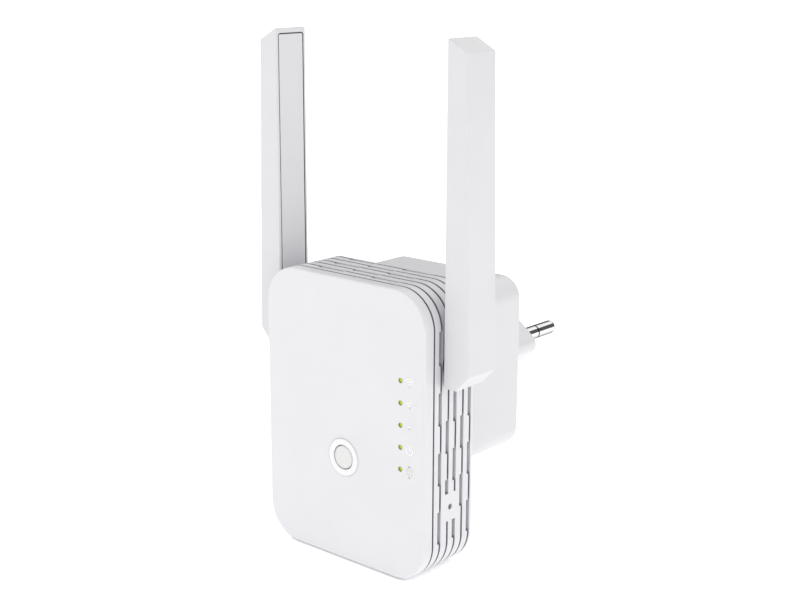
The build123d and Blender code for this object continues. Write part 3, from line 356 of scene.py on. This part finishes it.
# %% Inner finishes
inner_finishes = [
    ("chip_black", (0.018, 0.018, 0.02), (0.03, 0.03, 0.034), 0.5, 0.006,
     ("radio_chip", "memory_chips", "lan_transformer", "bridge_rectifier")),
    ("thermal_rubber", (0.3, 0.36, 0.46), (0.38, 0.43, 0.52), 0.8, 0.01, ("thermal_pad",)),
    ("jack_black", (0.02, 0.02, 0.022), (0.03, 0.03, 0.033), 0.38, 0.004, ("network_jack",)),
    ("switch_black", (0.02, 0.02, 0.02), (0.035, 0.035, 0.035), 0.45, 0.005,
     ("wps_switch", "reset_switch")),
    ("plunger_grey", (0.05, 0.05, 0.055), (0.08, 0.08, 0.085), 0.3, 0.003,
     ("wps_plunger", "reset_plunger")),
    ("ferrite", (0.04, 0.04, 0.045), (0.07, 0.07, 0.075), 0.6, 0.02, ("transformer_core",)),
    ("winding_tape", (0.75, 0.52, 0.06), (0.85, 0.62, 0.1), 0.25, 0.01, ("transformer_winding",)),
    ("sleeve", (0.015, 0.02, 0.06), (0.025, 0.03, 0.08), 0.25, 0.002,
     ("bulk_capacitor", "output_capacitors")),
    ("fuse_brown", (0.3, 0.14, 0.07), (0.38, 0.19, 0.1), 0.4, 0.01, ("fuse",)),
    ("film_yellow", (0.6, 0.32, 0.03), (0.7, 0.4, 0.05), 0.3, 0.004, ("suppression_capacitor",)),
    ("nylon", (0.72, 0.7, 0.62), (0.8, 0.78, 0.7), 0.45, 0.004, ("dc_connector",)),
    ("lead_red", (0.45, 0.02, 0.015), (0.55, 0.03, 0.02), 0.35, 0.003, ("dc_leads",)),
    ("coax_black", (0.02, 0.02, 0.022), (0.035, 0.035, 0.038), 0.35, 0.003,
     ("left_body_coax", "right_body_coax", "left_antenna_coax", "right_antenna_coax")),
    ("film_clear", (0.7, 0.7, 0.64), (0.78, 0.78, 0.72), 0.2, 0.001, ("insulation_sheet",)),
    ("plate_film", (0.6, 0.61, 0.63), (0.63, 0.64, 0.66), 0.3, 0.001, ("rating_plate",)),
]
for name, low, high, gloss, depth, members in inner_finishes:
    dress(moulded_plastic(name, low, high, gloss, skin_depth=depth * MM), *members)
print("inner finishes", len(inner_finishes))

# %% [markdown]
# ## A small vocabulary for Geometry Nodes
#
# What repeats on this object is grown by Geometry Nodes: a tree that takes a few named sizes and
# gives back the shape.

# %% Geometry Nodes helpers
def start_tree(name, **sizes):
    """New tree with one geometry input and a named input for each size."""
    tree = bpy.data.node_groups.new(name, "GeometryNodeTree")
    tree.interface.new_socket("Geometry", in_out="INPUT", socket_type="NodeSocketGeometry")
    tree.interface.new_socket("Geometry", in_out="OUTPUT", socket_type="NodeSocketGeometry")
    for label, value in sizes.items():
        kind = "NodeSocketInt" if isinstance(value, int) else "NodeSocketFloat"
        title = label.replace("_", " ")
        socket = tree.interface.new_socket(title, in_out="INPUT", socket_type=kind)
        socket.default_value = value
    return tree, tree.nodes.new("NodeGroupInput").outputs


def add(tree, kind, settings=None, **sockets):
    """Adds a node to any tree; a socket takes a plain value, an output or a list of outputs."""
    made = tree.nodes.new(kind)
    for label, value in (settings or {}).items():
        setattr(made, label, value)
    for label, value in sockets.items():
        socket = made.inputs[label.replace("_", " ")]
        if isinstance(value, list) and isinstance(value[0], bpy.types.NodeSocket):
            for output in value:
                tree.links.new(output, socket)
        elif isinstance(value, bpy.types.NodeSocket):
            tree.links.new(value, socket)
        else:
            socket.default_value = value
    return made.outputs


def reckon(tree, operation, first, second=0.0):
    """One sum on numbers that may be plain or come from other nodes."""
    sum_node = tree.nodes.new("ShaderNodeMath")
    sum_node.operation = operation
    for slot, value in zip(sum_node.inputs, (first, second)):
        if isinstance(value, bpy.types.NodeSocket):
            tree.links.new(value, slot)
        else:
            slot.default_value = value
    return sum_node.outputs["Value"]


def vector(tree, x=0.0, y=0.0, z=0.0):
    """A vector put together from three numbers."""
    return add(tree, "ShaderNodeCombineXYZ", X=x, Y=y, Z=z)["Vector"]


def end_tree(tree, geometry, material):
    """Realizes what the tree made, gives it its finish and closes the tree."""
    real = add(tree, "GeometryNodeRealizeInstances", Geometry=geometry)["Geometry"]
    finished = add(tree, "GeometryNodeSetMaterial", Geometry=real, Material=material)["Geometry"]
    add(tree, "NodeGroupOutput", Geometry=finished)
    return tree


def grow(
    name, tree, body, slot, points=((0, 0, 0),), edges=(), place=Matrix(), stands_for=(), **sizes
):
    """Runs `tree` over a few points and leaves a plain, outward-facing mesh riding on `body`."""
    seed = bpy.data.meshes.new(name + "_points")
    seed.from_pydata(points, edges, [])
    holder = bpy.data.objects.new(name + "_maker", seed)
    bpy.context.collection.objects.link(holder)
    modifier = holder.modifiers.new("maker", "NODES")
    modifier.node_group = tree
    for item in tree.interface.items_tree:
        value = sizes.get(item.name.replace(" ", "_"))
        if item.in_out == "INPUT" and value is not None:
            modifier[item.identifier] = value
    graph = bpy.context.evaluated_depsgraph_get()
    mesh = bpy.data.meshes.new_from_object(holder.evaluated_get(graph), depsgraph=graph)
    bpy.data.objects.remove(holder)
    mesh.transform(place)
    shape = bmesh.new()
    shape.from_mesh(mesh)
    bmesh.ops.remove_doubles(shape, verts=shape.verts, dist=1e-7)
    bmesh.ops.recalc_face_normals(shape, faces=shape.faces)
    shape.to_mesh(mesh)
    unpaired = sum(1 for edge in shape.edges if len(edge.link_faces) != 2)
    shape.free()
    piece = bpy.data.objects.new(name, mesh)
    bpy.context.collection.objects.link(piece)
    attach(piece, body)
    if stands_for:
        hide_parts(*stands_for)
    low, high = [
        [round(end(v.co[i] for v in mesh.vertices) / MM, 2) for i in range(3)] for end in (min, max)
    ]
    print(name, len(mesh.polygons), "faces, edges not shared by two faces", unpaired)
    print("    box in millimetres", low, high)


# %% [markdown]
# ## Symbols beside the lamps
#
# Each lamp has a tiny white symbol next to it, pad-printed on the cover: three, two and one wave
# for the signal, an open ring with a bar for power, and a globe for the network. A pad print is a
# stroke of ink of even width, about three hundredths of a millimetre thick. So each symbol is
# drawn as flat curves, and Curve to Mesh sweeps a thin rectangle along them. The waves follow a
# rule: the same quarter arc, placed again and again, each one spacing larger than the last.
# Where strokes of the globe cross, their ink touches along a few edges, which the count printed
# below shows as edges not shared by two faces; the shape has no hole there.

# %% Printed symbols
ink_white = moulded_plastic(
    "ink_white", (0.93, 0.93, 0.93), (0.97, 0.97, 0.97), gloss=0.3, skin=0.1 * MM
)
STROKE = {"Stroke_Width": 0.34 * MM, "Ink_Thickness": 0.03 * MM}


def print_strokes(tree, sizes, strokes):
    """Sweeps the ink's cross-section along flat strokes, and stands them up facing -Y."""
    section = add(tree, "GeometryNodeCurvePrimitiveQuadrilateral",
                  Width=sizes["Stroke Width"], Height=sizes["Ink Thickness"])["Curve"]
    flat = add(tree, "GeometryNodeRealizeInstances", Geometry=strokes)["Geometry"]
    ink = add(tree, "GeometryNodeCurveToMesh", Curve=flat, Profile_Curve=section,
              Fill_Caps=True)["Mesh"]
    quarter_turn = (math.radians(90), 0, 0)
    upright = add(tree, "GeometryNodeTransform", Geometry=ink, Rotation=quarter_turn)["Geometry"]
    return end_tree(tree, upright, ink_white)


def wave_symbol():
    """A dot with quarter arcs over it, each one spacing larger than the last."""
    tree, sizes = start_tree(
        "wave_symbol", Waves=3, Wave_Spacing=0.7 * MM, Dot_Radius=0.12 * MM, **STROKE
    )
    arc = add(tree, "GeometryNodeCurveArc", {"mode": "RADIUS"}, Resolution=24, Radius=1.0,
              Start_Angle=math.radians(45), Sweep_Angle=math.radians(90))["Curve"]
    steps = add(tree, "GeometryNodeMeshLine", Count=sizes["Waves"], Offset=(0, 0, 0))["Mesh"]
    number = reckon(tree, "ADD", add(tree, "GeometryNodeInputIndex")["Index"], 1.0)
    reach = reckon(tree, "MULTIPLY", number, sizes["Wave Spacing"])
    arcs = add(tree, "GeometryNodeInstanceOnPoints", Points=steps, Instance=arc,
               Scale=vector(tree, reach, reach, 1.0))["Instances"]
    dot = add(tree, "GeometryNodeCurvePrimitiveCircle", Resolution=16,
              Radius=sizes["Dot Radius"])["Curve"]
    strokes = add(tree, "GeometryNodeJoinGeometry", Geometry=[arcs, dot])["Geometry"]
    return print_strokes(tree, sizes, strokes)


def power_symbol():
    """A ring that is open at the top, with a bar through the opening."""
    tree, sizes = start_tree("power_symbol", Ring_Radius=1.05 * MM, Opening=70.0, **STROKE)
    gap = reckon(tree, "RADIANS", sizes["Opening"])
    start = reckon(tree, "ADD", reckon(tree, "MULTIPLY", gap, 0.5), math.radians(90))
    sweep = reckon(tree, "SUBTRACT", math.radians(360), gap)
    ring = add(tree, "GeometryNodeCurveArc", {"mode": "RADIUS"}, Resolution=48,
               Radius=sizes["Ring Radius"], Start_Angle=start, Sweep_Angle=sweep)["Curve"]
    bar_over_ring = 1.35
    top = reckon(tree, "MULTIPLY", sizes["Ring Radius"], bar_over_ring)
    bar = add(tree, "GeometryNodeCurvePrimitiveLine", Start=(0, 0, 0),
              End=vector(tree, y=top))["Curve"]
    strokes = add(tree, "GeometryNodeJoinGeometry", Geometry=[ring, bar])["Geometry"]
    return print_strokes(tree, sizes, strokes)


def globe_symbol():
    """A circle with a narrower ellipse and a bar for meridians, and three parallels."""
    tree, sizes = start_tree("globe_symbol", Globe_Radius=1.5 * MM, **STROKE)
    radius = sizes["Globe Radius"]
    rim = add(tree, "GeometryNodeCurvePrimitiveCircle", Resolution=48, Radius=radius)["Curve"]
    meridian = add(tree, "GeometryNodeTransform", Geometry=rim, Scale=(0.5, 1, 1))["Geometry"]
    down = reckon(tree, "MULTIPLY", radius, -1.0)
    axis = add(tree, "GeometryNodeCurvePrimitiveLine",
               Start=vector(tree, y=down), End=vector(tree, y=radius))
    strokes = [rim, meridian, axis["Curve"]]
    for height in (-0.5, 0.0, 0.5):
        y = reckon(tree, "MULTIPLY", radius, height)
        right = reckon(tree, "MULTIPLY", radius, math.sqrt(1 - height ** 2))
        left = reckon(tree, "MULTIPLY", right, -1.0)
        parallel = add(tree, "GeometryNodeCurvePrimitiveLine",
                       Start=vector(tree, left, y), End=vector(tree, right, y))
        strokes.append(parallel["Curve"])
    joined = add(tree, "GeometryNodeJoinGeometry", Geometry=strokes)["Geometry"]
    return print_strokes(tree, sizes, joined)


guide_low, guide_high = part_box("light_guide")
cover_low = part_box("front_cover")[0]
lamp_count = 5
lamp_radius = 0.65 * MM
guide_bar_over = (guide_high.x - guide_low.x) / 2 - lamp_radius
lamp_x = (guide_low.x + guide_high.x) / 2
lamp_top = guide_high.z - guide_bar_over - lamp_radius
lamp_pitch = (lamp_top - guide_low.z - guide_bar_over - lamp_radius) / (lamp_count - 1)
lamp_to_symbol = 3.1 * MM
symbol_x = lamp_x + lamp_to_symbol
ink_y = cover_low.y - STROKE["Ink_Thickness"] / 2
waves = wave_symbol()
# Name, tree, how far its origin lies above its lamp in millimetres, and the sizes it changes.
symbols = [
    ("strong_signal_symbol", waves, -1.15, {"Waves": 3}),
    ("medium_signal_symbol", waves, -0.75, {"Waves": 2}),
    ("weak_signal_symbol", waves, -0.45, {"Waves": 1}),
    ("power_symbol", power_symbol(), -0.35, {}),
    ("network_symbol", globe_symbol(), -0.2, {"Stroke_Width": 0.2 * MM}),
]
for row, (name, tree, rise, sizes) in enumerate(symbols):
    spot = Vector((symbol_x, ink_y, lamp_top - row * lamp_pitch + rise * MM))
    grow(name, tree, "housing", "gloss_ring", place=Matrix.Translation(spot), **sizes)

# %% [markdown]
# ## Screws
#
# Seven self-tapping screws hold the extender together. A screw is three shapes that repeat on every
# one of them: a domed head with a cross recess, a plain core, and a thread wound round it. The
# tree bends a flat cylinder into the dome, cuts the cross with a Boolean, sweeps a three-sided
# wire along a spiral for the thread, and copies the screw to each point that it is given.

# %% Pan head screws
HEAD_DIAMETER = 3.8 * MM
HEAD_HEIGHT = 1.3 * MM


def screw_tree():
    """A cross-recessed screw along Z, copied to each incoming point with its head to +Y."""
    tree, sizes = start_tree(
        "pan_head_screw", Head_Diameter=HEAD_DIAMETER, Head_Height=HEAD_HEIGHT,
        Thread_Diameter=2.0 * MM, Shank_Length=8.0 * MM, Thread_Pitch=0.75 * MM,
        Cross_Length=2.2 * MM, Cross_Width=0.5 * MM, Cross_Depth=0.7 * MM,
    )
    head_radius = reckon(tree, "MULTIPLY", sizes["Head Diameter"], 0.5)
    half_height = reckon(tree, "MULTIPLY", sizes["Head Height"], 0.5)
    blank = add(tree, "GeometryNodeMeshCylinder", {"fill_type": "TRIANGLE_FAN"}, Vertices=48,
                Fill_Segments=8, Radius=head_radius, Depth=sizes["Head Height"])["Mesh"]
    position = add(tree, "GeometryNodeInputPosition")["Position"]
    point = add(tree, "ShaderNodeSeparateXYZ", Vector=position)
    squares = [reckon(tree, "POWER", point[axis], 2.0) for axis in ("X", "Y")]
    across = reckon(tree, "ADD", *squares)
    share = reckon(tree, "DIVIDE", across, reckon(tree, "POWER", head_radius, 2.0))
    on_top = reckon(tree, "GREATER_THAN", point["Z"], 0.0)
    rim_sink = -0.45
    sink = reckon(tree, "MULTIPLY", reckon(tree, "MULTIPLY", share, on_top),
                  reckon(tree, "MULTIPLY", sizes["Head Height"], rim_sink))
    dome = add(tree, "GeometryNodeSetPosition", Geometry=blank,
               Offset=vector(tree, z=sink))["Geometry"]
    twice_deep = reckon(tree, "MULTIPLY", sizes["Cross Depth"], 2.0)
    arms = []
    for size in (vector(tree, sizes["Cross Length"], sizes["Cross Width"], twice_deep),
                 vector(tree, sizes["Cross Width"], sizes["Cross Length"], twice_deep)):
        arm = add(tree, "GeometryNodeMeshCube", Size=size)["Mesh"]
        lift = vector(tree, z=half_height)
        arms.append(add(tree, "GeometryNodeTransform", Geometry=arm, Translation=lift))
    cut = tree.nodes.new("GeometryNodeMeshBoolean")
    cut.operation = "DIFFERENCE"
    cut.solver = "EXACT"
    tree.links.new(dome, cut.inputs["Mesh 1"])
    for arm in arms:
        tree.links.new(arm["Geometry"], cut.inputs["Mesh 2"])
    core_radius = reckon(tree, "MULTIPLY", sizes["Thread Diameter"], 0.4)
    core = add(tree, "GeometryNodeMeshCylinder", Vertices=24, Radius=core_radius,
               Depth=sizes["Shank Length"])
    middle = reckon(tree, "ADD", half_height, reckon(tree, "MULTIPLY", sizes["Shank Length"], 0.5))
    below = vector(tree, z=reckon(tree, "MULTIPLY", middle, -1.0))
    shank = add(tree, "GeometryNodeTransform", Geometry=core["Mesh"],
                Translation=below)["Geometry"]
    winding_height = reckon(tree, "MULTIPLY", sizes["Shank Length"], 0.9)
    turns = reckon(tree, "DIVIDE", winding_height, sizes["Thread Pitch"])
    spiral = add(tree, "GeometryNodeCurveSpiral", Resolution=24, Rotations=turns,
                 Start_Radius=core_radius, End_Radius=core_radius, Height=winding_height)["Curve"]
    ridge_radius = reckon(tree, "MULTIPLY", sizes["Thread Diameter"], 0.1)
    ridge = add(tree, "GeometryNodeCurvePrimitiveCircle", Resolution=3,
                Radius=ridge_radius)["Curve"]
    thread = add(tree, "GeometryNodeCurveToMesh", Curve=spiral, Profile_Curve=ridge,
                 Fill_Caps=True)["Mesh"]
    thread_end = 0.96
    reach = reckon(tree, "MULTIPLY", sizes["Shank Length"], thread_end)
    bottom = reckon(tree, "MULTIPLY", reckon(tree, "ADD", half_height, reach), -1.0)
    wound = add(tree, "GeometryNodeTransform", Geometry=thread,
                Translation=vector(tree, z=bottom))["Geometry"]
    screw = add(tree, "GeometryNodeJoinGeometry",
                Geometry=[cut.outputs["Mesh"], shank, wound])["Geometry"]
    head_back = (math.radians(-90), 0, 0)
    copies = add(tree, "GeometryNodeInstanceOnPoints", Points=sizes["Geometry"], Instance=screw,
                 Rotation=head_back)["Instances"]
    return end_tree(tree, copies, zinc)


def corners(node, head_radius, wanted):
    """Screw places of a group: the corners of its box, drawn in by a head's radius."""
    low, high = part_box(node)
    head_y = high.y - HEAD_HEIGHT / 2
    xs = (low.x + head_radius, high.x - head_radius)
    zs = (low.z + head_radius, high.z - head_radius)
    return [(xs[i], head_y, zs[j]) for i, j in wanted]


screws = screw_tree()
# CAD node, which corners of its box hold a screw (left or right, low or high), shank length.
screw_groups = [
    ("board_screws", ((0, 0), (0, 1), (1, 1)), 6.6),
    ("case_screws", ((0, 0), (1, 0)), 8.0),
    ("housing_screws", ((0, 0), (1, 0)), 3.85),
]
for node, wanted, length in screw_groups:
    grow(node + "_threaded", screws, "housing", "screw_steel",
         points=corners(node, HEAD_DIAMETER / 2, wanted), stands_for=(node,),
         Shank_Length=length * MM)

# %% [markdown]
# ## Contact wires of the network jack
#
# In the mouth of a network jack eight sprung wires stand side by side, each bent back on itself
# into a hairpin that presses on the plug. One bent path, rounded at its corner by Fillet Curve and
# swept by a round section, is repeated along a line at the standard pitch of 1.02 millimetres.

# %% Sprung wires
WIRE_DIAMETER = 0.36 * MM


def hairpin_tree():
    """Sweeps the incoming path as a round wire and repeats it along X, centred."""
    tree, sizes = start_tree(
        "sprung_wires", Wires=8, Pitch=1.02 * MM, Wire_Diameter=WIRE_DIAMETER, Bend_Radius=0.3 * MM
    )
    path = add(tree, "GeometryNodeMeshToCurve", Mesh=sizes["Geometry"])["Curve"]
    bent = add(tree, "GeometryNodeFilletCurve", {"mode": "POLY"}, Curve=path, Count=6,
               Radius=sizes["Bend Radius"])["Curve"]
    wire_radius = reckon(tree, "MULTIPLY", sizes["Wire Diameter"], 0.5)
    section = add(tree, "GeometryNodeCurvePrimitiveCircle", Resolution=10,
                  Radius=wire_radius)["Curve"]
    wire = add(tree, "GeometryNodeCurveToMesh", Curve=bent, Profile_Curve=section,
               Fill_Caps=True)["Mesh"]
    gaps = reckon(tree, "SUBTRACT", sizes["Wires"], 1.0)
    span = reckon(tree, "MULTIPLY", gaps, sizes["Pitch"])
    first = vector(tree, x=reckon(tree, "MULTIPLY", span, -0.5))
    row = add(tree, "GeometryNodeMeshLine", Count=sizes["Wires"], Start_Location=first,
              Offset=vector(tree, x=sizes["Pitch"]))["Mesh"]
    copies = add(tree, "GeometryNodeInstanceOnPoints", Points=row, Instance=wire)["Instances"]
    return end_tree(tree, copies, gold)


wires_low, wires_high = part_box("jack_contacts")
wire_radius = WIRE_DIAMETER / 2
back_y = wires_high.y - wire_radius
tip_y = wires_low.y + wire_radius
mouth_z = wires_low.z + wire_radius
spring_rise = 5.5 * MM
hairpin = [(0, back_y, wires_high.z), (0, back_y, mouth_z), (0, tip_y, mouth_z + spring_rise)]
grow("jack_wires", hairpin_tree(), "housing", "brass_strip", points=hairpin, edges=((0, 1), (1, 2)),
     stands_for=("jack_contacts",))

# %% [markdown]
# ## Floor, light and camera
#
# White goods are shown in a light tent: a pale floor, light from every side, and a little more
# from above. The world is the tent. It has an opening at each corner, and the room behind them
# is dim: those dim patches turn the rounded edges that face them into fine grey lines, so that
# white shows up on white from every side. The tent's own wall is shown plain white. The camera
# stands a third of a metre away, at the right front corner and a little above.

# %% Floor
floor_size = 16.0
floor_gap = 0.2 * MM
floor_z = cad_low.z - floor_gap
floor_mesh = bpy.data.meshes.new("floor")
half = floor_size / 2
floor_turns = ((-1, -1), (1, -1), (1, 1), (-1, 1))
floor_mesh.from_pydata([(i * half, j * half, floor_z) for i, j in floor_turns], [], [(0, 1, 2, 3)])
floor = bpy.data.objects.new("floor", floor_mesh)
bpy.context.collection.objects.link(floor)
floor_white = moulded_plastic(
    "floor_white", (0.95, 0.95, 0.95), (0.96, 0.96, 0.96), gloss=0.75,
    Emission_Color=(1, 1, 1, 1), Emission_Strength=0.4,
)
floor_mesh.materials.append(floor_white)
floor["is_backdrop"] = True

# %% Light
world = bpy.data.worlds.new("light_tent")
bpy.context.scene.world = world
world.use_nodes = True
tent = world.node_tree
TENT_WALL = 1.27
TENT_ROOF = 1.0
TENT_SEEN = 1.06
OPENING_DEPTH = 0.95
first_opening = math.radians(41)
looking = tent.nodes.new("ShaderNodeTexCoord").outputs["Generated"]
direction = add(tent, "ShaderNodeSeparateXYZ", Vector=looking)


def fade(value, start, end, first, last):
    """Smooth step from `first` to `last` as `value` goes from start to end."""
    step = tent.nodes.new("ShaderNodeMapRange")
    step.interpolation_type = "SMOOTHSTEP"
    limits = {"From Min": start, "From Max": end, "To Min": first, "To Max": last}
    for socket, number in limits.items():
        step.inputs[socket].default_value = number
    tent.links.new(value, step.inputs["Value"])
    return step.outputs["Result"]


azimuth = reckon(tent, "ARCTAN2", direction["X"], reckon(tent, "MULTIPLY", direction["Y"], -1.0))
turned = reckon(tent, "MULTIPLY", reckon(tent, "SUBTRACT", azimuth, first_opening), 4.0)
in_opening = fade(reckon(tent, "COSINE", turned), -0.3, 0.9, 0.0, OPENING_DEPTH)
low_down = fade(reckon(tent, "ABSOLUTE", direction["Z"]), 0.3, 0.7, 1.0, 0.0)
left_over = reckon(tent, "SUBTRACT", 1.0, reckon(tent, "MULTIPLY", in_opening, low_down))
wall_to_roof = fade(direction["Z"], 0.5, 0.95, TENT_WALL, TENT_ROOF)
tent_light = reckon(tent, "MULTIPLY", wall_to_roof, left_over)
seen = tent.nodes.new("ShaderNodeLightPath").outputs["Is Camera Ray"]
shown = tent.nodes.new("ShaderNodeMix")
shown.inputs["B"].default_value = TENT_SEEN
tent.links.new(seen, shown.inputs["Factor"])
tent.links.new(tent_light, shown.inputs["A"])
tent.nodes["Background"].inputs["Color"].default_value = (1.0, 1.0, 0.97, 1)
tent.links.new(shown.outputs["Result"], tent.nodes["Background"].inputs["Strength"])
bpy.context.scene.view_settings.view_transform = "Standard"


def soft_box(name, place, aim, size, power):
    """Square area light at `place`, turned towards `aim`."""
    light = bpy.data.lights.new(name, "AREA")
    light.shape = "SQUARE"
    light.size = size
    light.energy = power
    box = bpy.data.objects.new(name, light)
    bpy.context.collection.objects.link(box)
    box.location = place
    box.rotation_euler = (Vector(aim) - Vector(place)).to_track_quat("-Z", "Y").to_euler()


middle = (cad_low + cad_high) / 2
soft_box("key_light", (-1.0, -0.85, 0.5), middle, size=0.7, power=0.8)
soft_box("side_light", (1.0, 0.6, 0.4), middle, size=0.6, power=0.5)
soft_box("top_light", (0.2, 0.1, 1.1), middle, size=0.9, power=0.3)

# %% [markdown]
# Polished nickel shows nothing but its surroundings, so in an all-white tent it would vanish.
# A product studio stands a black card beside such metal, out of view, and the card draws the
# dark streak that makes it read as metal. This card is seen by mirror reflections only. The
# thin dark edges of the pin need no card: nickel reflects a little less at a slant, and the
# shader's Specular Tint sets that dip.

# %% Black card
pin_low, pin_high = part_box("right_pin")
pin_middle = (pin_low + pin_high) / 2


def black_card(name, direction, distance, width, height, shade):
    """Upright card facing the right pin from `direction`, seen in mirror reflections only."""
    towards = Vector(direction).normalized()
    across = towards.cross(Vector((0, 0, 1))).normalized() * width / 2
    upward = across.cross(towards).normalized() * height / 2
    centre = pin_middle + towards * distance
    outline = [centre - across - upward, centre + across - upward, centre + across + upward,
               centre - across + upward]
    card_mesh = bpy.data.meshes.new(name)
    card_mesh.from_pydata([tuple(corner) for corner in outline], [], [(0, 1, 2, 3)])
    card_mesh.materials.append(moulded_plastic(name, (shade,) * 3, (shade * 1.2,) * 3, gloss=0.9))
    card = bpy.data.objects.new(name, card_mesh)
    bpy.context.collection.objects.link(card)
    card.visible_camera = False
    card.visible_diffuse = False
    card.visible_shadow = False
    card.visible_transmission = False
    card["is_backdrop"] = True


black_card("streak_card", (0.634, 0.733, 0.36), 0.4, width=0.9, height=0.21, shade=0.06)

# %% Camera
front_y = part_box("front_cover")[0].y
view_azimuth = math.radians(40.87)
view_elevation = math.radians(14.24)
view_distance = 0.3533
view_roll = math.radians(0.2)
aim = Vector((0.0198, front_y, 0.0254))
backwards = Vector((
    math.sin(view_azimuth) * math.cos(view_elevation),
    -math.cos(view_azimuth) * math.cos(view_elevation),
    math.sin(view_elevation),
))
camera = bpy.data.objects.new("camera", bpy.data.cameras.new("camera"))
bpy.context.collection.objects.link(camera)
camera.data.sensor_width = 36.0
camera.data.lens = 63.33
camera.data.clip_start = 0.01
camera.location = aim + view_distance * backwards
camera.rotation_euler = backwards.to_track_quat("Z", "Y").to_euler()
camera.rotation_euler.rotate_axis("Z", view_roll)
bpy.context.scene.camera = camera
print("camera at", [round(v, 4) for v in camera.location])

# %% Sizes and finish
low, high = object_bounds()
